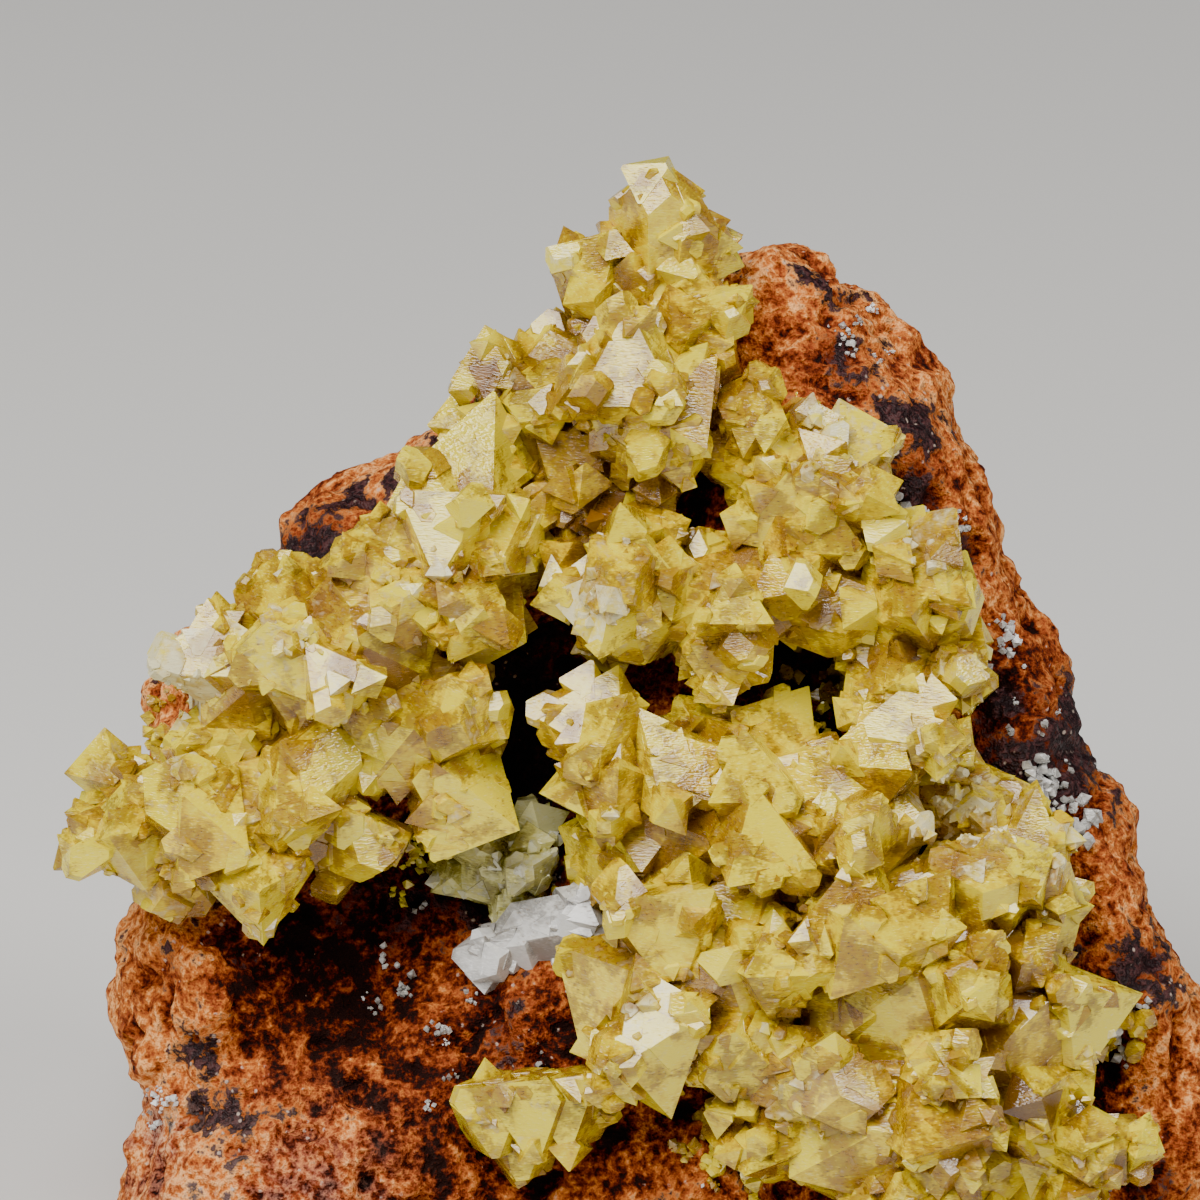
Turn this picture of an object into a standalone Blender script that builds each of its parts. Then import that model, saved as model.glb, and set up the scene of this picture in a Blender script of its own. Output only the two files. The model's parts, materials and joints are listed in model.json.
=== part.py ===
"""Adamite crystal cluster: yellow adamite sprays grown on a leaning slab of iron-oxide gossan.

The specimen stands on a flat cut at z = 0, with +Z up and its crystal face towards -Y.
Places on the specimen are given in its face frame, in millimetres: u runs to the right, v runs
up the leaning face from the base, and w stands out of the face.
"""

import math
import random

import bmesh
import bpy
from mathutils import Matrix, Vector, noise

MM = 0.001

# The face leans back by this angle, and the face frame's origin lies here in the specimen's frame.
FACE_LEAN = math.radians(20.0)
FACE_ORIGIN = Vector((0.25, -15.5, 0.0))

# What grows on a body keeps this clearance to it.
GAP = 0.3

# The matrix: its outline as seen square to the face, anticlockwise from the right.
ROCK_CENTRE = (0.0, 25.5)
ROCK_OUTLINE = (
    (24.2, 25.0), (22.5, 28.8), (20.6, 33.0), (19.4, 36.3), (18.6, 39.8), (17.2, 42.4),
    (16.2, 45.5), (14.5, 48.0), (13.2, 50.8), (11.3, 53.0), (9.3, 55.0), (7.4, 56.9),
    (6.0, 57.2), (3.5, 55.4), (0.0, 53.5), (-4.5, 51.8), (-7.5, 50.0), (-10.0, 48.5),
    (-12.5, 46.6), (-15.0, 44.9), (-17.3, 43.6), (-19.0, 42.2), (-19.9, 40.0), (-20.6, 38.3),
    (-24.5, 36.7), (-26.2, 35.0), (-26.8, 32.0), (-26.0, 28.5), (-25.4, 24.0), (-26.4, 20.3),
    (-27.8, 17.8), (-28.2, 15.5), (-26.4, 12.4), (-28.0, 9.0), (-29.0, 5.0), (-28.4, 0.0),
    (-24.0, -6.0), (-10.0, -10.0), (6.0, -10.5), (20.0, -9.0), (27.8, -3.0), (29.6, 4.0),
    (28.9, 10.5), (28.0, 15.0), (27.1, 18.8), (26.0, 22.5),
)
ROCK_RIM = -7.0
ROCK_FRONT_HEIGHT = 7.0
ROCK_BACK_AT_BASE = 25.0
ROCK_BACK_AT_TOP = 11.0
ROCK_TOP = 56.0
ROCK_EDGE_CUTS = 9

# Swells and hollows of the matrix's front, as (u, v, radius, height), and of its back.
ROCK_FRONT_RELIEF = (
    (-7.0, 30.5, 5.5, -6.5),
    (-12.0, 22.5, 7.0, -4.5),
    (7.0, 34.2, 4.0, -4.0),
    (-24.0, 18.5, 4.0, 3.0),
    (-24.0, 8.5, 4.5, 3.8),
    (-16.0, 6.5, 4.5, 4.0),
    (-6.0, 17.5, 3.0, 2.0),
    (-17.0, 34.5, 6.0, 2.0),
    (-17.5, 41.5, 3.0, 2.0),
    (8.0, 53.5, 4.0, 2.6),
    (13.5, 46.0, 3.5, 2.2),
    (17.5, 39.0, 3.5, 2.4),
    (21.0, 30.5, 3.5, 2.4),
    (24.0, 20.5, 4.0, 2.6),
    (26.0, 9.5, 4.5, 2.8),
    (2.0, 4.0, 6.0, 1.8),
)
ROCK_BACK_RELIEF = (
    (-15.0, 14.0, 8.0, 3.0),
    (12.0, 24.0, 8.0, -3.5),
    (4.0, 44.0, 6.0, 3.0),
    (16.0, 8.0, 7.0, 3.0),
    (-14.0, 34.0, 6.0, -3.0),
)
# Broken-rock roughness, as (grain, height).
ROCK_ROUGHNESS = ((8.0, 1.6), (3.2, 0.9))
ROCK_FRACTAL = {"H": 0.9, "lacunarity": 2.0, "octaves": 2}
# The larger this is, the flatter the matrix stays before it rounds over to its rim.
ROCK_ROUNDING = 3

# Adamite's cell edges in angstrom, and the forms its crystals show, whose faces follow from them.
CELL_A, CELL_B, CELL_C = 8.304, 8.524, 6.036
GIRDLE_FORM = (1, 0, 1)
TIP_FORM = (1, 1, 0)
SHOULDER_FORM = (0, 1, 1)

# How far a crystal's faces lie nearer to or further from its middle than its size says.
UNEVENNESS = 0.08

# A crystal that shows a triangular tip face: the side of that face, half the crystal's length,
# how far out of its lobe it stands and how far its tip face's middle lies from its axis, in girths.
SHOWN_SIDE = 2.47
SHOWN_HALF_LENGTH = 1.66
SHOWN_RISE = 0.45
SHOWN_OFFSET = 0.55
FULL_RIDGE = 4.0

# The crystals on a lobe: how far down its sides they reach, how far they stray from its normal,
# the spread of their girths, their half lengths and ridges in girths, and how deep they root.
LOBE_FACETING = 1
LOBE_SKIRT = -0.15
STRAYING = 0.35
GIRTH_SPREAD = (0.8, 1.3)
HALF_LENGTHS = (1.3, 1.8)
RIDGES = (0.5, FULL_RIDGE, FULL_RIDGE)
ROOTING = 0.4

# The block that a crystal is cut from, in girths or half lengths, and when its points are one.
BLOCK = 8.0
CORNER_MERGE = 0.02

# A cut cluster's points closer than this are one, and faces within this angle are one face.
MERGE = 5e-6
FLAT = math.radians(0.2)


def face_normal(h, k, l):
    """The normal of a face with these indices. c lies along x, a along y and b along z."""
    return Vector((l / CELL_C, h / CELL_A, k / CELL_B)).normalized()


def form_faces(form):
    """Every face normal of a form: its indices with each choice of signs."""
    choices = [(index, -index) if index else (0,) for index in form]
    return [face_normal(h, k, l) for h in choices[0] for k in choices[1] for l in choices[2]]


TIP_LEAN = math.acos(face_normal(*TIP_FORM).z)


class Lobe:
    """A rounded body of intergrown crystals: an ellipsoid on the matrix, turned in the face.

    lift is how far its middle stands above the matrix, and crystals of the given girth stand out
    of it with the ridges of their tips along grain, in degrees from u.
    """

    def __init__(self, u, v, lift, radii, turn=0.0, crystals=8, girth=1.6, grain=0.0):
        self.centre = Vector((u, v, rock_front(u, v) + lift))
        self.radii = Vector(radii)
        self.turn = Matrix.Rotation(math.radians(turn), 3, "Z")
        self.crystals = crystals
        self.girth = girth
        self.grain = math.radians(grain)

    def surface(self, direction):
        """The point where this direction leaves the lobe, and the lobe's normal there."""
        reach = Vector([r * d for r, d in zip(self.radii, direction)])
        steep = Vector([d / r for r, d in zip(self.radii, direction)])
        return self.centre + self.turn @ reach, (self.turn @ steep).normalized()

    def holds(self, point):
        """Whether this point lies inside the lobe."""
        away = self.turn.transposed() @ (point - self.centre)
        return sum((a / r) ** 2 for a, r in zip(away, self.radii)) < 1.0

    def height(self, u, v):
        """How high the lobe's front stands here, or None beside it."""
        away = self.turn.transposed() @ Vector((u - self.centre.x, v - self.centre.y, 0.0))
        share = (away.x / self.radii.x) ** 2 + (away.y / self.radii.y) ** 2
        return self.centre.z + self.radii.z * math.sqrt(1.0 - share) if share < 1.0 else None


class Crystal:
    """One crystal: half its length along b, its girth and the half length of its tip's ridge.

    axes turns the crystal's own c, a and b (x, y and z) into the face frame.
    """

    def __init__(self, centre, axes, half_length, girth, ridge, seed=0):
        self.centre = centre
        self.axes = axes
        self.half_length = half_length
        self.girth = girth
        self.ridge = ridge
        self.seed = seed

    def planes(self):
        """(normal, distance from the crystal's middle) of each of its faces."""
        rng = random.Random(self.seed)
        tip, shoulder = face_normal(*TIP_FORM), face_normal(*SHOULDER_FORM)
        forms = (
            (GIRDLE_FORM, self.girth),
            (TIP_FORM, self.half_length * tip.z),
            (SHOULDER_FORM, self.half_length * shoulder.z + self.ridge * shoulder.x),
        )
        for form, distance in forms:
            for normal in form_faces(form):
                yield normal, distance * rng.uniform(1.0 - UNEVENNESS, 1.0 + UNEVENNESS)


def tilt(right, up, turn=0.0):
    """A turn in the face plane, then leans of the given degrees towards +u and towards +v."""
    return (
        Matrix.Rotation(math.radians(right), 3, "Y")
        @ Matrix.Rotation(math.radians(-up), 3, "X")
        @ Matrix.Rotation(math.radians(turn), 3, "Z")
    )


def pointed(u, v, w, length, girth, right, up, turn=0.0, ridge=0.3, seed=1):
    """A crystal whose b axis leans by these angles out of the face's normal."""
    return Crystal(Vector((u, v, w)), tilt(right, up, turn), length / 2, girth, ridge, seed)


def faced(lobes, u, v, side, right, up, turn=0.0, lift=0.0, seed=1):
    """A crystal that shows a triangular tip face of this side, centred here on the lobes.

    The face looks by these angles to the right and up. Unturned, it points up.
    """
    girth = side / SHOWN_SIDE
    half_length = SHOWN_HALF_LENGTH * girth
    axes = tilt(right, up, turn) @ Matrix.Rotation(TIP_LEAN, 3, "X")
    heights = [h for h in (lobe.height(u, v) for lobe in lobes) if h is not None]
    top = max(heights, default=rock_front(u, v)) + lift + SHOWN_RISE * girth
    offset = SHOWN_OFFSET * girth
    face_middle = Vector((0.0, offset, half_length - offset * math.tan(TIP_LEAN)))
    centre = Vector((u, v, top)) - axes @ face_middle
    return Crystal(centre, axes, half_length, girth, FULL_RIDGE * girth, seed)


# ---------------------------------------------------------------- the matrix


def outline_radius(angle):
    """How far the matrix's outline lies from its centre in this direction."""
    polar = sorted(
        (math.atan2(v - ROCK_CENTRE[1], u - ROCK_CENTRE[0]) % math.tau,
         math.hypot(u - ROCK_CENTRE[0], v - ROCK_CENTRE[1]))
        for u, v in ROCK_OUTLINE
    )
    first, last = polar[0], polar[-1]
    polar = [(last[0] - math.tau, last[1]), *polar, (first[0] + math.tau, first[1])]
    angle %= math.tau
    for (before, near), (after, far) in zip(polar, polar[1:]):
        if before <= angle <= after:
            return near + (far - near) * (angle - before) / (after - before)
    raise ValueError("the outline doesn't go all the way round")


def relief(features, u, v):
    """How far these swells and hollows raise the matrix here."""
    return sum(
        height * math.exp(-((u - fu) ** 2 + (v - fv) ** 2) / radius ** 2)
        for fu, fv, radius, height in features
    )


def rounding(share):
    """How full the matrix is at this share of the way from its middle to its outline."""
    return math.sqrt(max(0.0, 1.0 - share ** ROCK_ROUNDING))


def rock_front(u, v):
    """The height of the matrix's front here, before it is roughened."""
    du, dv = u - ROCK_CENTRE[0], v - ROCK_CENTRE[1]
    share = min(1.0, math.hypot(du, dv) / outline_radius(math.atan2(dv, du)))
    return ROCK_RIM + rounding(share) * (ROCK_FRONT_HEIGHT + relief(ROCK_FRONT_RELIEF, u, v))


def rock_back(u, v):
    """The height of the matrix's back here, before it is roughened."""
    du, dv = u - ROCK_CENTRE[0], v - ROCK_CENTRE[1]
    share = min(1.0, math.hypot(du, dv) / outline_radius(math.atan2(dv, du)))
    up = min(max(v / ROCK_TOP, 0.0), 1.0)
    thickness = ROCK_BACK_AT_BASE + (ROCK_BACK_AT_TOP - ROCK_BACK_AT_BASE) * up
    return ROCK_RIM - rounding(share) * (thickness + relief(ROCK_BACK_RELIEF, u, v))


def rock_point(direction):
    """Where a point of the unit sphere goes on the matrix: half the sphere spreads evenly over
    the front and half over the back."""
    angle = math.atan2(direction.y, direction.x)
    reach = math.sqrt(max(0.0, 1.0 - abs(direction.z))) * outline_radius(angle)
    u = ROCK_CENTRE[0] + reach * math.cos(angle)
    v = ROCK_CENTRE[1] + reach * math.sin(angle)
    return Vector((u, v, rock_front(u, v) if direction.z > 0 else rock_back(u, v)))


def rock_roughness(point):
    """How far the broken rock stands out at a point."""
    return sum(
        height * noise.fractal(point / grain, *ROCK_FRACTAL.values())
        for grain, height in ROCK_ROUGHNESS
    )


def rock_mesh(name, grow=0.0):
    """The matrix as a closed mesh with its base cut flat. grow moves its surface outwards."""
    bm = bmesh.new()
    bmesh.ops.create_icosphere(bm, subdivisions=1, radius=1.0)
    bmesh.ops.subdivide_edges(bm, edges=bm.edges, cuts=ROCK_EDGE_CUTS, use_grid_fill=True)
    for vertex in bm.verts:
        vertex.co = rock_point(vertex.co.normalized())
    bm.normal_update()
    moves = [v.normal * (rock_roughness(v.co) + grow) for v in bm.verts]
    for vertex, move in zip(bm.verts, moves):
        vertex.co += move
    cut = bmesh.ops.bisect_plane(
        bm, geom=[*bm.verts, *bm.edges, *bm.faces], dist=1e-5, plane_co=(0.0, 0.0, 0.0),
        plane_no=(0.0, 1.0, math.tan(FACE_LEAN)), clear_inner=True,
    )["geom_cut"]
    bmesh.ops.holes_fill(bm, edges=[e for e in cut if isinstance(e, bmesh.types.BMEdge)])
    return mesh_from(bm, name)


# ---------------------------------------------------------------- building meshes and objects


def in_specimen(u, v, w):
    """A point of the face frame, in the specimen's frame and in metres."""
    sine, cosine = math.sin(FACE_LEAN), math.cos(FACE_LEAN)
    return (FACE_ORIGIN + Vector((u, v * sine - w * cosine, v * cosine + w * sine))) * MM


def mesh_from(bm, name):
    """Moves a bmesh from the face frame to the specimen's frame and stores it."""
    for vertex in bm.verts:
        vertex.co = in_specimen(*vertex.co)
    bmesh.ops.recalc_face_normals(bm, faces=bm.faces)
    if bm.calc_volume(signed=True) < 0.0:
        bmesh.ops.reverse_faces(bm, faces=bm.faces)
    mesh = bpy.data.meshes.new(name)
    bm.to_mesh(mesh)
    bm.free()
    return mesh


def crystal_mesh(crystal, name, grow=0.0):
    """A block cut down to the crystal's faces."""
    bm = bmesh.new()
    bmesh.ops.create_cube(bm, size=BLOCK * max(crystal.half_length, crystal.girth))
    for normal, distance in crystal.planes():
        cut = bmesh.ops.bisect_plane(
            bm, geom=[*bm.verts, *bm.edges, *bm.faces], dist=1e-4,
            plane_co=normal * (distance + grow), plane_no=normal, clear_outer=True,
        )["geom_cut"]
        edges = [e for e in cut if isinstance(e, bmesh.types.BMEdge)]
        if edges:
            bmesh.ops.holes_fill(bm, edges=edges)
    bmesh.ops.remove_doubles(bm, verts=bm.verts, dist=CORNER_MERGE)
    for vertex in bm.verts:
        vertex.co = crystal.centre + crystal.axes @ vertex.co
    return mesh_from(bm, name)


def lobe_mesh(lobe, name, grow=0.0):
    """A lobe as a closed mesh. grow moves its surface outwards."""
    bm = bmesh.new()
    bmesh.ops.create_icosphere(bm, subdivisions=LOBE_FACETING, radius=1.0)
    for vertex in bm.verts:
        point, normal = lobe.surface(vertex.co.normalized())
        vertex.co = point + normal * grow
    return mesh_from(bm, name)


def spread_directions(count, lowest):
    """Unit directions spread evenly over the part of a sphere above a height."""
    golden = math.pi * (3.0 - math.sqrt(5.0))
    for i in range(count):
        z = 1.0 - (1.0 - lowest) * (i + 0.5) / count
        r = math.sqrt(1.0 - z * z)
        yield Vector((r * math.cos(golden * i), r * math.sin(golden * i), z))


def crystals_on(lobe, others, seed):
    """Crystals standing out of a lobe's front where it isn't buried in others.

    Their b axes fan outwards.
    """
    rng = random.Random(seed)
    along = Vector((math.cos(lobe.grain), math.sin(lobe.grain), 0.0))
    for number, direction in enumerate(spread_directions(lobe.crystals, LOBE_SKIRT)):
        point, normal = lobe.surface(direction)
        if any(other.holds(point) for other in others):
            continue
        wobble = Vector((rng.uniform(-1, 1), rng.uniform(-1, 1), rng.uniform(-1, 1)))
        outward = (normal + STRAYING * wobble).normalized()
        girth = lobe.girth * rng.uniform(*GIRTH_SPREAD)
        half_length = girth * rng.uniform(*HALF_LENGTHS)
        across = (along - along.dot(outward) * outward).normalized()
        axes = Matrix((across, outward.cross(across), outward)).transposed()
        ridge = girth * rng.choice(RIDGES)
        yield Crystal(point - outward * half_length * ROOTING, axes, half_length, girth, ridge,
                      seed * 100 + number)


LEFT_LOBES = (
    Lobe(-9.6, 40.6, 1.6, (3.4, 5.2, 4.0), 10, crystals=5, girth=1.6, grain=60),
    Lobe(-15.2, 36.0, 1.6, (7.0, 4.2, 4.6), 35, crystals=7, girth=1.7, grain=30),
    Lobe(-12.2, 31.6, 3.4, (4.8, 3.8, 4.2), 20, crystals=5, girth=1.6, grain=75),
    Lobe(-20.6, 33.4, 0.6, (3.2, 3.6, 4.0), crystals=4, girth=1.5, grain=75),
    Lobe(-20.6, 27.2, 2.8, (7.0, 3.6, 4.2), 4, crystals=8, girth=1.7, grain=10),
    Lobe(-26.4, 28.4, 4.0, (2.4, 2.2, 2.6), crystals=3, girth=1.2, grain=40),
    Lobe(-25.2, 34.2, 0.4, (1.8, 2.2, 1.8), crystals=3, girth=0.8, grain=0),
)
LEFT_CRYSTALS = (
    faced(LEFT_LOBES, -10.8, 41.9, 4.4, -10, 12, 178, lift=0.9, seed=2),
    faced(LEFT_LOBES, -9.9, 37.2, 3.0, -5, -20, 10, lift=0.6, seed=3),
    faced(LEFT_LOBES, -22.6, 25.9, 4.2, -12, -14, 20, lift=0.8, seed=4),
    faced(LEFT_LOBES, -16.2, 34.3, 3.6, -14, 18, 40, lift=0.7, seed=5),
    faced(LEFT_LOBES, -21.6, 36.0, 3.4, -20, 22, 150, lift=0.4, seed=6),
)
UPPER_LOBES = (
    Lobe(0.6, 52.0, 2.8, (3.2, 4.6, 3.2), 12, crystals=4, girth=1.5, grain=20),
    Lobe(-0.8, 47.4, 2.2, (3.8, 4.0, 4.0), crystals=4, girth=1.7, grain=60),
    Lobe(6.4, 44.6, 1.6, (5.0, 3.2, 3.6), -20, crystals=6, girth=1.5, grain=-20),
    Lobe(-6.8, 47.4, 1.6, (2.8, 4.0, 3.0), crystals=4, girth=1.2, grain=50),
    Lobe(-2.4, 41.4, 1.4, (3.0, 2.8, 3.0), crystals=3, girth=1.4, grain=20),
    Lobe(3.4, 38.2, 2.2, (6.4, 3.0, 3.8), 6, crystals=6, girth=1.5, grain=10),
    Lobe(-1.6, 37.0, 3.0, (3.0, 2.6, 3.0), crystals=2, girth=1.5, grain=70),
)
UPPER_CRYSTALS = (
    pointed(0.1, 56.4, 0.6, 7.6, 1.75, 0, 66, 70, ridge=0.5, seed=7),
    pointed(1.2, 55.2, 0.2, 6.0, 1.4, 12, 60, 70, ridge=0.7, seed=70),
    pointed(-3.2, 54.2, 0.0, 5.6, 1.5, -14, 44, 20, ridge=1.4, seed=8),
    faced(UPPER_LOBES, -5.6, 51.8, 3.8, -18, 10, 190, lift=1.2, seed=9),
    faced(UPPER_LOBES, -1.7, 49.2, 5.2, -6, 10, 0, lift=1.2, seed=10),
    faced(UPPER_LOBES, 1.4, 52.3, 3.0, 16, 24, 150, lift=0.8, seed=11),
    faced(UPPER_LOBES, -4.5, 45.0, 4.4, -12, -4, 170, lift=2.2, seed=12),
    faced(UPPER_LOBES, 0.4, 45.4, 4.0, 4, -30, 200, lift=0.9, seed=13),
    faced(UPPER_LOBES, 9.6, 42.6, 3.4, 30, 4, 40, lift=0.3, seed=14),
    faced(UPPER_LOBES, -3.6, 37.6, 4.6, -44, 6, 80, lift=0.6, seed=15),
    faced(UPPER_LOBES, 3.8, 37.8, 3.6, 6, 26, 0, lift=0.4, seed=16),
)
LOWER_LOBES = (
    Lobe(-1.0, 29.6, 2.6, (4.6, 3.2, 3.8), -15, crystals=4, girth=1.7, grain=30),
    Lobe(7.4, 26.8, 2.0, (6.8, 5.0, 5.0), crystals=7, girth=1.8, grain=80),
    Lobe(3.2, 19.8, 2.0, (6.0, 5.6, 5.2), crystals=6, girth=1.8, grain=0),
    Lobe(12.6, 19.4, 2.2, (7.2, 7.0, 5.4), crystals=8, girth=1.9, grain=55),
    Lobe(11.0, 12.0, 2.2, (6.4, 5.0, 4.8), crystals=6, girth=1.8, grain=10),
    Lobe(14.6, 28.2, 0.8, (3.0, 2.6, 2.4), -30, crystals=3, girth=1.1, grain=120),
    Lobe(17.5, 23.4, 1.6, (3.2, 4.0, 3.6), 15, crystals=4, girth=1.4, grain=70),
    Lobe(19.8, 10.8, 1.4, (3.4, 2.8, 3.0), crystals=3, girth=1.3, grain=0),
    Lobe(21.9, 15.8, 0.6, (1.7, 2.2, 1.6), crystals=3, girth=0.8, grain=30),
)
LOWER_CRYSTALS = (
    faced(LOWER_LOBES, -3.6, 31.6, 4.8, -40, 20, 75, lift=0.6, seed=17),
    faced(LOWER_LOBES, -3.2, 28.2, 4.4, -44, -12, 75, lift=0.8, seed=18),
    faced(LOWER_LOBES, -0.8, 26.6, 4.0, -8, 30, 60, lift=0.6, seed=19),
    faced(LOWER_LOBES, 5.2, 25.8, 4.4, 10, 6, 10, lift=0.5, seed=20),
    faced(LOWER_LOBES, -0.4, 17.8, 4.8, -10, 24, 150, lift=0.6, seed=21),
    faced(LOWER_LOBES, 5.8, 13.9, 4.0, -20, -6, 100, lift=0.5, seed=22),
    faced(LOWER_LOBES, 14.7, 14.1, 3.8, 10, 10, 0, lift=0.6, seed=23),
    faced(LOWER_LOBES, 12.8, 23.0, 4.2, 14, 16, 200, lift=0.5, seed=24),
    faced(LOWER_LOBES, 10.0, 20.2, 4.4, 4, -22, 20, lift=0.4, seed=25),
    faced(LOWER_LOBES, 18.0, 24.6, 3.6, 20, 12, 160, lift=0.4, seed=35),
)
SIDE_LOBES = (
    Lobe(12.8, 38.2, 1.6, (1.9, 2.4, 2.4), crystals=2, girth=1.2, grain=60),
    Lobe(13.0, 34.2, 1.8, (3.0, 1.6, 2.2), crystals=4, girth=1.1, grain=14),
)
SIDE_CRYSTALS = (
    faced(SIDE_LOBES, 12.6, 39.2, 3.6, 6, 10, 150, lift=0.8, seed=26),
    faced(SIDE_LOBES, 11.8, 35.8, 3.0, -24, -16, 20, lift=0.5, seed=27),
)
PALE_LOBES = (
    Lobe(-7.8, 24.6, 0.8, (3.0, 2.8, 2.6), crystals=6, girth=0.9, grain=30),
)
# How far the lone crystal's members lean right and up, and how far they are turned.
LONE_STANCE = (-14, 34, 7)
LONE_CRYSTALS = tuple(
    pointed(u, v, rock_front(u, v) + lift, length, girth, *LONE_STANCE, ridge, seed)
    for u, v, lift, length, girth, ridge, seed in (
        (-8.2, 12.4, 1.6, 5.6, 1.75, 1.0, 28),
        (-6.3, 12.5, 1.7, 5.8, 1.85, 1.4, 29),
        (-4.5, 12.8, 1.6, 5.4, 1.75, 1.1, 30),
        (-6.8, 10.9, 0.8, 4.4, 1.5, 1.0, 31),
    )
)
COLOURLESS_CRYSTALS = (
    pointed(-8.4, 19.9, rock_front(-8.4, 19.9) + 0.6, 4.2, 1.5, 10, -8, 80, seed=32),
    pointed(-5.8, 21.2, rock_front(-5.8, 21.2) + 0.8, 6.4, 1.1, 60, 10, 10, seed=33),
    pointed(-4.2, 22.4, rock_front(-4.2, 22.4) + 0.9, 3.6, 0.9, 20, 30, 40, seed=34),
)

# Finishes, as (name, colour, roughness).
GOSSAN = ("gossan_red_ochre", (0.33, 0.10, 0.035), 0.9)
YELLOW = ("adamite_yellow", (0.62, 0.47, 0.07), 0.2)
PALE_GREEN = ("adamite_pale_green", (0.55, 0.52, 0.25), 0.35)
COLOURLESS = ("calcite_colourless", (0.72, 0.72, 0.68), 0.25)

# Clusters, as (name, lobes, single crystals, seed, finish).
CLUSTERS = (
    ("left_spray", LEFT_LOBES, LEFT_CRYSTALS, 11, YELLOW),
    ("upper_spray", UPPER_LOBES, UPPER_CRYSTALS, 23, YELLOW),
    ("lower_spray", LOWER_LOBES, LOWER_CRYSTALS, 37, YELLOW),
    ("side_spray", SIDE_LOBES, SIDE_CRYSTALS, 47, YELLOW),
    ("pale_spray", PALE_LOBES, (), 53, PALE_GREEN),
    ("lone_crystal", (), LONE_CRYSTALS, 61, YELLOW),
    ("colourless_crystals", (), COLOURLESS_CRYSTALS, 67, COLOURLESS),
)


def material(name, colour, roughness):
    """A plain finish."""
    made = bpy.data.materials.new(name)
    made.use_nodes = True
    shader = made.node_tree.nodes["Principled BSDF"]
    shader.inputs["Base Color"].default_value = (*colour, 1.0)
    shader.inputs["Roughness"].default_value = roughness
    shader.inputs["Metallic"].default_value = 0.0
    return made


def new_collection(name, parent):
    """A collection linked under parent."""
    made = bpy.data.collections.new(name)
    parent.children.link(made)
    return made


def new_object(name, mesh, collection, helper=False):
    """An object in a collection. A helper shows as wires and isn't rendered."""
    made = bpy.data.objects.new(name, mesh)
    collection.objects.link(made)
    if helper:
        made.hide_render = True
        made.display_type = "WIRE"
    return made


def cluster_meshes(name, lobes, singles, seed, grow=0.0):
    """A cluster's lobes and crystals as closed meshes that overlap."""
    made = [lobe_mesh(lobe, name, grow) for lobe in lobes]
    for number, lobe in enumerate(lobes):
        others = [other for other in lobes if other is not lobe]
        made += [crystal_mesh(c, name, grow) for c in crystals_on(lobe, others, seed + number)]
    return made + [crystal_mesh(crystal, name, grow) for crystal in singles]


def islands(bm):
    """The bmesh's separate shells, each as a set of vertices."""
    left = set(bm.verts)
    while left:
        shell, edge_of_search = set(), [left.pop()]
        while edge_of_search:
            vertex = edge_of_search.pop()
            shell.add(vertex)
            for edge in vertex.link_edges:
                other = edge.other_vert(vertex)
                if other in left:
                    left.remove(other)
                    edge_of_search.append(other)
        yield shell


def extent(shell):
    """The diagonal of a shell's box."""
    points = [vertex.co for vertex in shell]
    low = Vector([min(point[i] for point in points) for i in range(3)])
    high = Vector([max(point[i] for point in points) for i in range(3)])
    return (high - low).length


def settle(target):
    """Applies an object's Booleans, and drops pockets closed in between its crystals."""
    evaluated = target.evaluated_get(bpy.context.evaluated_depsgraph_get())
    bm = bmesh.new()
    bm.from_mesh(evaluated.to_mesh())
    evaluated.to_mesh_clear()
    bmesh.ops.remove_doubles(bm, verts=bm.verts, dist=MERGE)
    bmesh.ops.dissolve_limit(bm, angle_limit=FLAT, verts=bm.verts, edges=bm.edges)
    outer = max(islands(bm), key=extent)
    bmesh.ops.delete(bm, geom=[v for v in bm.verts if v not in outer], context="VERTS")
    target.modifiers.clear()
    bm.to_mesh(target.data)
    bm.free()


def boolean(target, operation, collection):
    """Adds an exact Boolean of this operation with all of a collection's objects."""
    modifier = target.modifiers.new(operation.title(), "BOOLEAN")
    modifier.operation = operation
    modifier.operand_type = "COLLECTION"
    modifier.collection = collection
    modifier.solver = "EXACT"


def main():
    """Builds the matrix, then each cluster, cut clear of the matrix and of earlier clusters."""
    for existing in list(bpy.data.objects):
        bpy.data.objects.remove(existing)
    scene_root = bpy.context.scene.collection
    specimen = new_collection("adamite_crystal_cluster", scene_root)
    helpers = new_collection("bodies_and_cutters", scene_root)

    matrix = new_object("matrix", rock_mesh("matrix"), specimen)
    matrix.data.materials.append(material(*GOSSAN))
    grown = new_collection("matrix_grown", helpers)
    new_object("matrix_grown", rock_mesh("matrix_grown", GAP), grown, helper=True)

    earlier = [grown]
    finishes = {}
    for name, lobes, singles, seed, finish in CLUSTERS:
        core, *others = cluster_meshes(name, lobes, singles, seed)
        spray = new_object(name, core, specimen)
        bodies = new_collection(f"{name}_bodies", helpers)
        for number, mesh in enumerate(others):
            new_object(f"{name}_body_{number}", mesh, bodies, helper=True)
        boolean(spray, "UNION", bodies)
        for cutters in earlier:
            boolean(spray, "DIFFERENCE", cutters)
        finish_name = finish[0]
        if finish_name not in finishes:
            finishes[finish_name] = material(*finish)
        spray.data.materials.append(finishes[finish_name])
        settle(spray)
        wider = new_collection(f"{name}_grown", helpers)
        for number, mesh in enumerate(cluster_meshes(name, lobes, singles, seed, GAP)):
            new_object(f"{name}_grown_{number}", mesh, wider, helper=True)
        earlier.append(wider)


main()
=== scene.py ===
"""Dresses the adamite crystal cluster: sprays with their growth steps on a weathered matrix.

Sizes are in millimetres unless a name says otherwise, and become metres where a mesh, a light or
a socket takes them. Places on the specimen are given in its face frame: u runs to the right, v
up the leaning face from the base, and w out of the face.
"""

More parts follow.
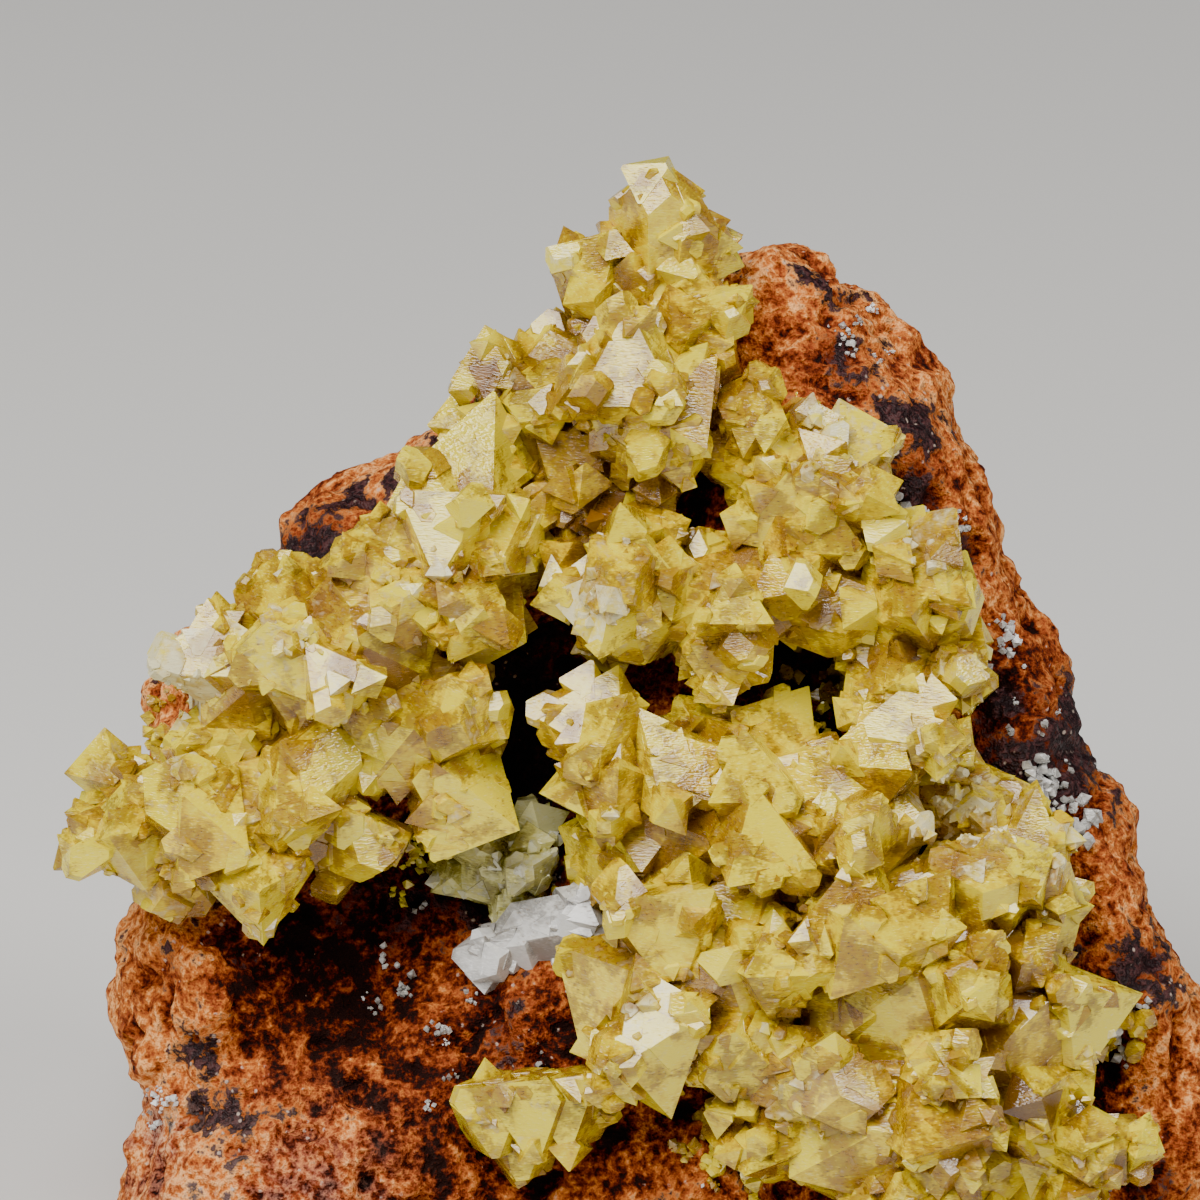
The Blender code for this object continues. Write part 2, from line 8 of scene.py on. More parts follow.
import json
import logging
import math
import random
from dataclasses import dataclass, field
from enum import Enum
from typing import Iterable, Iterator, Sequence

import bmesh
import bpy
from mathutils import Matrix, Vector, noise
from mathutils.bvhtree import BVHTree

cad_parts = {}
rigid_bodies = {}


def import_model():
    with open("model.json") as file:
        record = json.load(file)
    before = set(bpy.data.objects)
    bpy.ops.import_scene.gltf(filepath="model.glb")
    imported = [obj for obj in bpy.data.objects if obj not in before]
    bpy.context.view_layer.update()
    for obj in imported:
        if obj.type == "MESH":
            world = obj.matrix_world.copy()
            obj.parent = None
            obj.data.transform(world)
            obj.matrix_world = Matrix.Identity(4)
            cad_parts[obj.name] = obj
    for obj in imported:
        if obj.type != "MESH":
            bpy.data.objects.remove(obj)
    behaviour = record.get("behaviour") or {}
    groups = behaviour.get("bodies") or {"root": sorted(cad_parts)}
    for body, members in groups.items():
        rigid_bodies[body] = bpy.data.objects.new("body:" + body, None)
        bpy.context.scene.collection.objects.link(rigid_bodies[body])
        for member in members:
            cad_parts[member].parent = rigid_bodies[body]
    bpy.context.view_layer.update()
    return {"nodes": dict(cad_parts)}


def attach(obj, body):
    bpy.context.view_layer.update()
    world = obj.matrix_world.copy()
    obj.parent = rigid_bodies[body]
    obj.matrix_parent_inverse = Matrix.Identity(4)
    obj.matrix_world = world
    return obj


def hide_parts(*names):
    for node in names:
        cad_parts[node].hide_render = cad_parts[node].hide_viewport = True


MM = 0.001
BODY = "root"
LOG = logging.getLogger("adamite")
CM2_PER_M2 = 1e4
MIDDLE = 0.5  # of a noise
CAD_MERGE = 0.001
PARALLEL = 1e-6  # what is left of a direction across another that it runs along

SHADES = ("tint", "frost_and_reflection", "amber")  # stored on crystals' faces
# the rock's marks also carry painted light and shade: lit rims, shadowed patches, shaded pits
EARTHS = ("ochre_and_lit_rims", "black_and_shadow", "pale", "pit_shade")  # stored on the rock's points

Colour = tuple[float, float, float]
Range = tuple[float, float]  # in a finish: where a pattern starts to show and shows fully


# ---------- places on the specimen


@dataclass(frozen=True)
class FaceFrame:
    """The leaning crystal face, in which places on the specimen are given."""

    lean: float = math.radians(20.0)
    origin: tuple[float, float, float] = (0.25, -15.5, 0.0)

    def right(self) -> Vector:
        """The direction in which u runs."""
        return Vector((1.0, 0.0, 0.0))

    def up(self) -> Vector:
        """The direction in which v runs."""
        return Vector((0.0, math.sin(self.lean), math.cos(self.lean)))

    def out(self) -> Vector:
        """The direction in which w runs."""
        return Vector((0.0, -math.cos(self.lean), math.sin(self.lean)))

    def place(self, u: float, v: float, w: float = 0.0) -> Vector:
        """Gives a point of the face frame in the specimen's frame, in metres."""
        offset = self.right() * u + self.up() * v + self.out() * w
        return (Vector(self.origin) + offset) * MM

    def local(self, point: Vector) -> Vector:
        """Gives the u, v and w of a point of the specimen's frame that is in metres."""
        offset = point / MM - Vector(self.origin)
        return Vector((offset.dot(self.right()), offset.dot(self.up()), offset.dot(self.out())))


FACE = FaceFrame()


@dataclass(frozen=True)
class Spot:
    """A round patch of the face in which something is stronger."""

    u: float
    v: float
    radius: float
    strength: float = 1.0

    def at(self, place: Vector) -> float:
        """Gives the patch's strength at a place of the face frame."""
        away = math.hypot(place.x - self.u, place.y - self.v) / self.radius
        return self.strength * math.exp(-away * away)


def strongest(spots: Sequence[Spot], place: Vector) -> float:
    """Gives how strong the strongest of these patches is at a place, from 0 to 1."""
    return min(1.0, max((spot.at(place) for spot in spots), default=0.0))


def smoothstep(low: float, high: float, value: float) -> float:
    """Rises smoothly from 0 at low to 1 at high."""
    share = min(1.0, max(0.0, (value - low) / (high - low)))
    return share * share * (3.0 - 2.0 * share)


# ---------- shader building


class Signal:
    """A value in a material's nodes, on which Python's operators add Math nodes."""

    def __init__(self, graph: "Graph", socket: bpy.types.NodeSocket) -> None:
        """Wraps an output socket of a graph."""
        self.graph = graph
        self.socket = socket

    def _math(self, operation: str, first: "Operand", second: "Operand") -> "Signal":
        """Adds a Math node."""
        node = self.graph.node("ShaderNodeMath", {"operation": operation}, {0: first, 1: second})
        return Signal(self.graph, node.outputs[0])

    def __add__(self, other: "Operand") -> "Signal":
        """Adds."""
        return self._math("ADD", self, other)

    def __radd__(self, other: "Operand") -> "Signal":
        """Adds to a number."""
        return self._math("ADD", other, self)

    def __sub__(self, other: "Operand") -> "Signal":
        """Subtracts."""
        return self._math("SUBTRACT", self, other)

    def __rsub__(self, other: "Operand") -> "Signal":
        """Subtracts from a number."""
        return self._math("SUBTRACT", other, self)

    def __mul__(self, other: "Operand") -> "Signal":
        """Multiplies."""
        return self._math("MULTIPLY", self, other)

    def __rmul__(self, other: "Operand") -> "Signal":
        """Multiplies a number."""
        return self._math("MULTIPLY", other, self)

    def between(self, low: float, high: float) -> "Signal":
        """Rises smoothly from 0 at low to 1 at high."""
        node = self.graph.node("ShaderNodeMapRange", {"interpolation_type": "SMOOTHSTEP"},
                               {"Value": self, "From Min": low, "From Max": high})
        return Signal(self.graph, node.outputs[0])


Operand = Signal | float


@dataclass(frozen=True)
class Grain:
    """A noise: its patches' size, its finer octaves, their strength, and where it is finer."""

    size: float
    octaves: float = 1.0
    roughness: float = 0.6
    finer_along: tuple[float, float, float] = (1.0, 1.0, 1.0)


class Graph:
    """The nodes of one material."""

    def __init__(self, name: str) -> None:
        """Starts a material with its Principled shader.

        Args:
            name: The material's name.
        """
        self.material = bpy.data.materials.new(name)
        self.material.use_nodes = True
        self.tree = self.material.node_tree
        self.shader = self.tree.nodes["Principled BSDF"]
        self.shader.distribution = "GGX"
        self.position = self.node("ShaderNodeTexCoord", {}, {}).outputs["Object"]

    def node(self, kind: str, settings: dict, inputs: dict) -> bpy.types.Node:
        """Adds a node.

        Args:
            kind: The node's type.
            settings: Its properties, set first.
            inputs: What its inputs are fed with.

        Returns:
            The node.
        """
        made = self.tree.nodes.new(kind)
        for name, value in settings.items():
            setattr(made, name, value)
        self.feed(made, inputs)
        return made

    def feed(self, node: bpy.types.Node, inputs: dict) -> None:
        """Links or sets a node's inputs.

        Args:
            node: The node.
            inputs: Signals, output sockets, colours or numbers by the input's name or number.
        """
        for key, value in inputs.items():
            socket = node.inputs[key]
            if isinstance(value, Signal):
                value = value.socket
            if isinstance(value, bpy.types.NodeSocket):
                self.tree.links.new(value, socket)
            else:
                socket.default_value = (*value, 1.0) if socket.type == "RGBA" else value

    def noise(self, grain: Grain) -> Signal:
        """Adds a noise from about 0.3 to 0.7."""
        mapping = self.node("ShaderNodeMapping", {},
                            {"Vector": self.position, "Scale": grain.finer_along})
        return Signal(self, self.node("ShaderNodeTexNoise", {}, {
            "Vector": mapping.outputs[0], "Scale": 1.0 / (grain.size * MM),
            "Detail": grain.octaves, "Roughness": grain.roughness,
        }).outputs["Fac"])

    def cells(self, size: float) -> Signal:
        """Adds how far each place is from a cell's middle, as a share of the cells' size."""
        made = self.node("ShaderNodeTexVoronoi", {"feature": "F1"},
                         {"Vector": self.position, "Scale": 1.0 / (size * MM)})
        return Signal(self, made.outputs["Distance"])

    def attribute(self, name: str) -> Signal:
        """Reads a value stored on the mesh."""
        made = self.node("ShaderNodeAttribute", {"attribute_name": name}, {})
        return Signal(self, made.outputs["Fac"])

    def ramp(self, value: Signal, places: Sequence[float],
             colours: Sequence[Colour]) -> bpy.types.NodeSocket:
        """Turns a value into a colour.

        Args:
            value: The value, from 0 to 1.
            places: Where each colour lies, in rising order.
            colours: The colours.

        Returns:
            The colour's socket.
        """
        made = self.node("ShaderNodeValToRGB", {}, {"Fac": value})
        stops = made.color_ramp.elements
        stops.remove(stops[-1])
        for number, (place, colour) in enumerate(zip(places, colours)):
            stop = stops.new(place) if number else stops[0]
            stop.position = place
            stop.color = (*colour, 1.0)
        return made.outputs[0]

    def mix(self, share: Operand, first: object, second: object) -> bpy.types.NodeSocket:
        """Mixes two colours, with this share of the second."""
        share_in, first_in, second_in, colour_out = 0, 6, 7, 2
        return self.node("ShaderNodeMix", {"data_type": "RGBA"}, {
            share_in: share, first_in: first, second_in: second,
        }).outputs[colour_out]

    def bump(self, height: Signal, depth: float, strength: float) -> bpy.types.NodeSocket:
        """Adds a bump whose height of 1 stands out by a depth, and gives the normal."""
        inputs = {"Height": height, "Distance": depth * MM, "Strength": strength}
        return self.node("ShaderNodeBump", {}, inputs).outputs[0]


# ---------- finishes


def mottled(value: Signal, weights: Sequence[float], noises: Sequence[Signal]) -> Signal:
    """Adds noises to a value, each by its weight."""
    return sum((weight * (made - MIDDLE) for weight, made in zip(weights, noises)), value)


@dataclass(frozen=True)
class CrystalFinish:
    """Crystal that is clear in places, and cloudy with growth veils in others.

    tint, frost and amber are stored on a spray's faces: a crystal's own shade, how white it is
    and how brown. The white is frosting in part, and in part a painted reflection of the softboxes.
    crevice is stored on its points: how deep they lie between crystals. The finish paints it as
    shade: the colour turns deeper, browner and less white there.
    """

    name: str
    pale: Colour
    lemon: Colour
    deep: Colour
    rich: Colour
    amber: Colour
    # the white of frost and milky veils, also used for painted reflections and painted glints
    frost_and_reflection: Colour
    clear: Colour
    absorbed: Colour
    absorption_per_m: float
    clearness: float = 0.40
    index: float = 1.73
    grains: tuple[Grain, ...] = (Grain(2.2), Grain(0.55, 2.0, 0.7),
                                 Grain(0.3, finer_along=(1.0, 1.0, 4.0)))
    stops: tuple[float, ...] = (0.05, 0.35, 0.68, 1.0)
    shading: tuple[float, ...] = (1.2, 1.1, 0.6)
    tint_shade: float = 0.62
    crevice_shade: float = 0.5
    browning: Range = (0.36, 1.0)
    crevice_shade_brown: float = 0.4
    cloud_brown: float = 0.9
    whitening: Range = (0.3, 0.95)
    crevice_shade_unfrosted: float = 0.25
    veil_frost: float = 1.4
    milk_share: float = 0.06
    milking: Range = (0.5, 0.72)
    speck_share: float = 0.7
    speckling: Range = (0.66, 0.72)
    speckled_clouds: Range = (0.44, 0.56)
    glint_share: float = 0.30
    glinting: Range = (0.64, 0.70)
    window_opening: Range = (0.72, 0.98)
    window_depth: float = 0.55
    window_veil: float = 0.25
    polish: float = 0.05
    etched: float = 0.22
    etching: Range = (0.42, 0.68)
    etched_cloud: float = 1.7
    etched_veil: float = 0.7
    frosted: float = 0.30
    relief: float = 0.06
    relief_strength: float = 0.45

    def build(self) -> bpy.types.Material:
        """Makes the material.

        Returns:
            The material.
        """
        g = Graph(self.name)
        noises = cloud, veil, growth = [g.noise(grain) for grain in self.grains]
        tint, frost_and_reflection, amber, crevice_painted_shade = map(g.attribute, (*SHADES, "crevice_painted_shade"))
        depth = mottled(self.tint_shade * (1.0 - tint), self.shading, noises)
        # painted shade between crystals: deeper, browner and less white colour where the points lie
        # deep
        depth = depth + self.crevice_shade * crevice_painted_shade
        brown = (amber + self.crevice_shade_brown * crevice_painted_shade * crevice_painted_shade
                 + self.cloud_brown * (cloud - MIDDLE)).between(*self.browning)
        # partly painted reflection: the white mark stands in part for softbox reflections, and the
        # glints below are painted glints in the same white
        whiteness = (frost_and_reflection - self.crevice_shade_unfrosted * crevice_painted_shade
                     + self.veil_frost * (veil - MIDDLE)).between(*self.whitening)
        milky = self.milk_share * veil.between(*self.milking) * (1.0 - brown)
        specks = growth.between(*self.speckling) * cloud.between(*self.speckled_clouds)
        glints = (1.0 - growth).between(*self.glinting) * (1.0 - brown)
        colour = g.ramp(depth, self.stops, (self.pale, self.lemon, self.deep, self.rich))
        for share, other in (
            (brown, self.amber), (milky + whiteness - milky * whiteness, self.frost_and_reflection),
            (self.speck_share * specks, self.amber), (self.glint_share * glints, self.frost_and_reflection),
        ):
            colour = g.mix(share, colour, other)
        window = self.window_depth * depth + cloud + self.window_veil * veil
        clarity = self.clearness * window.between(*self.window_opening) * (1.0 - whiteness)
        pits = (self.etched_cloud * cloud - self.etched_veil * veil).between(*self.etching)
        body = {
            "Roughness": self.polish + self.etched * pits + self.frosted * whiteness,
            "IOR": self.index, "Normal": g.bump(growth, self.relief, self.relief_strength),
        }
        g.feed(g.shader, {**body, "Base Color": colour})
        glassy = g.node("ShaderNodeBsdfPrincipled", {"distribution": "GGX"}, {
            **body, "Base Color": g.mix(brown, self.clear, self.amber),
            "Transmission Weight": 1.0,
        })
        joined = g.node("ShaderNodeMixShader", {},
                        {0: clarity, 1: g.shader.outputs[0], 2: glassy.outputs[0]})
        inside = g.node("ShaderNodeVolumeAbsorption", {},
                        {"Color": self.absorbed, "Density": self.absorption_per_m})
        g.feed(g.tree.nodes["Material Output"],
               {"Surface": joined.outputs[0], "Volume": inside.outputs[0]})
        return g.material


@dataclass(frozen=True)
class GossanFinish:
    """Earthy iron oxide: ochre where it is weathered, maroon on the face, black goethite.

    The marks that place these colours carry painted light and shade too: rims facing sideways
    are ochre as if lit, a maroon patch under the left spray and dark patches in the hollow
    between sprays stand for shadow, and pits are painted darker.
    """

    name: str = "gossan"
    shadow: Colour = (0.014, 0.004, 0.003)
    maroon: Colour = (0.082, 0.010, 0.003)
    brick: Colour = (0.26, 0.043, 0.009)
    orange: Colour = (0.58, 0.165, 0.026)
    light: Colour = (0.95, 0.45, 0.155)
    # also the colour of the painted shadow in the hollow between sprays
    goethite_and_shadow: Colour = (0.016, 0.007, 0.008)
    plum: Colour = (0.070, 0.026, 0.026)
    dust: Colour = (0.56, 0.44, 0.36)
    grains: tuple[Grain, ...] = (Grain(5.0), Grain(1.3), Grain(0.4, 2.0, 0.7))
    stops: tuple[float, ...] = (0.02, 0.22, 0.45, 0.72, 1.0)
    shading: tuple[float, ...] = (0.9, 1.3, 1.7)
    reddest: float = 0.16
    ochre_shade: float = 0.60
    cavity_shade: float = 0.36
    blackening: Range = (0.36, 0.62)
    black_patches: tuple[float, ...] = (2.6, 1.9, 1.2)
    black_share: float = 0.9
    plum_grains: Range = (0.45, 0.65)
    fleck_cell: float = 0.7
    fleck_edge: Range = (0.10, 0.2)
    fleck_places: Range = (1.0, 1.12)
    fleck_share: float = 0.7
    dusting: Range = (0.4, 0.6)
    dust_share: float = 0.5
    matt: float = 0.95
    black_gloss: float = 0.35
    uneven_gloss: float = 0.1
    sheen: float = 0.22
    relief: float = 0.45
    relief_strength: float = 0.9

    def build(self) -> bpy.types.Material:
        """Makes the material.

        Returns:
            The material.
        """
        g = Graph(self.name)
        noises = coarse, middle, fine = [g.noise(grain) for grain in self.grains]
        ochre_and_lit_rims, black_and_shadow, pale, pit_shade = map(g.attribute, EARTHS)
        earth = mottled(self.reddest + self.ochre_shade * ochre_and_lit_rims, self.shading, noises)
        # painted shade: the colour darkens where the rock's points lie low in its pits
        colour = g.ramp(earth - self.cavity_shade * pit_shade, self.stops,
                        (self.shadow, self.maroon, self.brick, self.orange, self.light))
        # dark patches: goethite, and painted shadow in the hollow between sprays
        dark = mottled(self.black_share * black_and_shadow, self.black_patches, noises)
        dark = dark.between(*self.blackening)
        goethite_and_shadow = g.mix(fine.between(*self.plum_grains), self.goethite_and_shadow, self.plum)
        rims = g.cells(self.fleck_cell).between(*self.fleck_edge)
        flecks = (1.0 - rims) * (fine + coarse).between(*self.fleck_places)
        for share, other in (
            (dark, goethite_and_shadow), (self.fleck_share * flecks, self.dust),
            (self.dust_share * pale * fine.between(*self.dusting), self.dust),
        ):
            colour = g.mix(share, colour, other)
        g.feed(g.shader, {
            "Base Color": colour,
            "Roughness": self.matt - self.black_gloss * dark - self.uneven_gloss * middle,
            "Specular IOR Level": self.sheen,
            "Normal": g.bump(fine, self.relief, self.relief_strength),
        })
        return g.material


@dataclass(frozen=True)
class PaperFinish:
    """Plain matt paper for the floor."""

    name: str = "pale_floor"
    colour: Colour = (0.72, 0.71, 0.69)
    matt: float = 0.95

    def build(self) -> bpy.types.Material:
        """Makes the material.

        Returns:
            The material.
        """
        g = Graph(self.name)
        g.feed(g.shader, {"Base Color": self.colour, "Roughness": self.matt})
        return g.material


# ---------- mesh helpers


def clean_copy(source: bpy.types.Object, flat: float = 0.0) -> bmesh.types.BMesh:
    """Copies a CAD node's mesh with its loose triangles joined.

    Args:
        source: The node.
        flat: Faces within this angle are made one face, if it isn't 0.

    Returns:
        The bmesh.
    """
    bm = bmesh.new()
    bm.from_mesh(source.data)
    bmesh.ops.remove_doubles(bm, verts=bm.verts, dist=CAD_MERGE * MM)
    if flat:
        bmesh.ops.dissolve_limit(bm, angle_limit=flat, verts=bm.verts, edges=bm.edges)
    bm.normal_update()
    return bm


def to_object(bm: bmesh.types.BMesh, name: str) -> bpy.types.Object:
    """Stores a bmesh as an object at the origin, and frees it.

    Args:
        bm: The bmesh.
        name: The object's name.

    Returns:
        The object.
    """
    mesh = bpy.data.meshes.new(name)
    bm.to_mesh(mesh)
    bm.free()
    made = bpy.data.objects.new(name, mesh)
    bpy.context.scene.collection.objects.link(made)
    return made


def apply_modifiers(target: bpy.types.Object) -> None:
    """Replaces an object's mesh with what its modifiers make of it, and drops them.

    Args:
        target: The object.
    """
    evaluated = target.evaluated_get(bpy.context.evaluated_depsgraph_get())
    mesh = bpy.data.meshes.new_from_object(evaluated)
    target.modifiers.clear()
    old, target.data = target.data, mesh
    bpy.data.meshes.remove(old)


def random_axis(rng: random.Random) -> Vector:
    """Draws a direction.

    Args:
        rng: Where it is drawn from.

    Returns:
        The direction, of length 1.
    """
    shortest = 0.05
    while True:
        made = Vector([rng.uniform(-1, 1) for _ in range(3)])
        if shortest < made.length < 1.0:
            return made.normalized()


def frame_on(normal: Vector, along: Vector) -> Matrix:
    """Gives axes on a surface.

    Args:
        normal: Where z points.
        along: What x points towards, as near as it gets.

    Returns:
        The axes, as columns.
    """
    x = along - along.dot(normal) * normal
    x = x.normalized() if x.length > PARALLEL else normal.orthogonal().normalized()
    return Matrix((x, normal.cross(x), normal)).transposed()


# ---------- crystals


class Stance(Enum):
    """How a new crystal stands on the face that it grows on."""

    STEP = "one of its faces lies parallel to the face under it"
    TIP = "its long axis points out of the spray"


@dataclass(frozen=True)
class Habit:
    """The stubby wedges that adamite's cell gives its crystals. a, b and c are in angstrom."""

    a: float = 8.304
    b: float = 8.524
    c: float = 6.036
    girdle: tuple[int, int, int] = (1, 0, 1)
    tip: tuple[int, int, int] = (1, 1, 0)
    shoulder: tuple[int, int, int] = (0, 1, 1)
    unevenness: float = 0.1
    block: float = 8.0
    cut_tolerance: float = 1e-5
    corner_merge: float = 0.02

    def normal(self, h: int, k: int, l: int) -> Vector:
        """Gives the normal of a face by its indices, with c along x, a along y and b along z."""
        return Vector((l / self.c, h / self.a, k / self.b)).normalized()

    def faces(self, form: tuple[int, int, int]) -> list[Vector]:
        """Gives every face normal of a form."""
        h, k, l = ((index, -index) if index else (0,) for index in form)
        return [self.normal(i, j, m) for i in h for j in k for m in l]

    def tip_lean(self) -> float:
        """Gives the angle between a tip face's normal and the long axis."""
        return math.acos(self.normal(*self.tip).z)

    def solid(self, length: float, ridge: float,
              rng: random.Random) -> tuple[bpy.types.Mesh, float]:
        """Cuts one crystal of unit girth from a block.

        Args:
            length: Half its length along b.
            ridge: Half the length of the ridge across its tip.
            rng: Draws how far out each face lies.

        Returns:
            The mesh, centred on the origin, and how far out its foremost tip face lies.
        """
        foremost = 0.0
        bm = bmesh.new()
        bmesh.ops.create_cube(bm, size=self.block * max(length, 1.0))
        tip, shoulder = self.normal(*self.tip), self.normal(*self.shoulder)
        forms = (
            (self.girdle, 1.0),
            (self.tip, length * tip.z),
            (self.shoulder, length * shoulder.z + ridge * shoulder.x),
        )
        for form, distance in forms:
            for normal in self.faces(form):
                reach = distance * rng.uniform(1.0 - self.unevenness, 1.0 + self.unevenness)
                if form is self.tip and normal.y > 0.0 and normal.z > 0.0:
                    foremost = reach
                cut = bmesh.ops.bisect_plane(
                    bm, geom=[*bm.verts, *bm.edges, *bm.faces], dist=self.cut_tolerance,
                    plane_co=normal * reach, plane_no=normal, clear_outer=True,
                )["geom_cut"]
                edges = [item for item in cut if isinstance(item, bmesh.types.BMEdge)]
                if edges:
                    bmesh.ops.holes_fill(bm, edges=edges)
        bmesh.ops.remove_doubles(bm, verts=bm.verts, dist=self.corner_merge)
        bmesh.ops.recalc_face_normals(bm, faces=bm.faces)
        mesh = bpy.data.meshes.new("crystal")
        bm.to_mesh(mesh)
        bm.free()
        return mesh, foremost


@dataclass
class CrystalStock:
    """A stock of crystal shapes, from which crystals are placed."""

    habit: Habit = Habit()
    kinds: int = 28
    seed: int = 5
    lengths: Range = (1.35, 1.9)
    ridges: tuple[float, ...] = (0.25, 0.6, 4.0, 4.0)
    shapes: list[tuple[bpy.types.Mesh, float]] = field(default_factory=list)

    def __post_init__(self) -> None:
        """Cuts the stock."""
        rng = random.Random(self.seed)
        for _ in range(self.kinds):
            length = rng.uniform(*self.lengths)
            self.shapes.append(self.habit.solid(length, rng.choice(self.ridges), rng))

    def crystal(self, centre: Vector, axes: Matrix, girth: float, marks: dict[str, float],
                kind: int) -> bpy.types.Mesh:
        """Makes one crystal's mesh in its place.

        Args:
            centre: Its middle, in metres.
            axes: Its own axes.
            girth: Its girth.
            marks: Values stored on its faces.
            kind: Which shape of the stock it has.

        Returns:
            The mesh.
        """
        mesh = self.shapes[kind][0].copy()
        mesh.transform(Matrix.Translation(centre) @ (axes * (girth * MM)).to_4x4())
        for mark, value in marks.items():
            stored = mesh.attributes.new(mark, "FLOAT", "FACE")
            stored.data.foreach_set("value", [value] * len(mesh.polygons))
        return mesh


class Ground(Enum):
    """Where on a spray a generation of crystals grows."""

    FACETS = "anywhere, but seldom on the largest facets"
    BROAD = "on facets large enough to carry growth hillocks"
    CORNERS = "in the corners between larger crystals"
    FROSTED = "where the crystals are frosted"


@dataclass(frozen=True)
class Growth:
    """One generation of crystals on a spray.

    rise is how far the crystals stand out of the ground, in girths for those that point outwards.
    """

    stance: Stance
    ground: Ground
    per_cm2: float
    girth: Range
    rise: Range
    unruly: float
    frosting: float = 0.0


@dataclass(frozen=True)
class Character:
    """What sets a spray's crystals apart by place: where they are white, brown or bare.

    The white is frosting in part, and in part a painted reflection of the softboxes.
    """

    frost_and_reflection: tuple[Spot, ...] = ()
    amber: tuple[Spot, ...] = ()
    bare: tuple[Spot, ...] = ()
    frost_everywhere: float = 0.0
    frost_spread: float = 0.16
    amber_spread: float = 0.12

    def marks(self, point: Vector, rng: random.Random) -> dict[str, float]:
        """Gives the values for a crystal at a point.

        Args:
            point: Its place, in metres.
            rng: Draws how far it departs from its neighbours.

        Returns:
            The values by name.
        """
        place = FACE.local(point)
        frost_and_reflection = max(self.frost_everywhere, strongest(self.frost_and_reflection, place))
        amber = strongest(self.amber, place)
        return {
            "tint": rng.random(),
            "frost_and_reflection": max(0.0, frost_and_reflection + rng.gauss(0.0, self.frost_spread)),
            "amber": max(0.0, amber + rng.gauss(0.0, self.amber_spread)),
        }


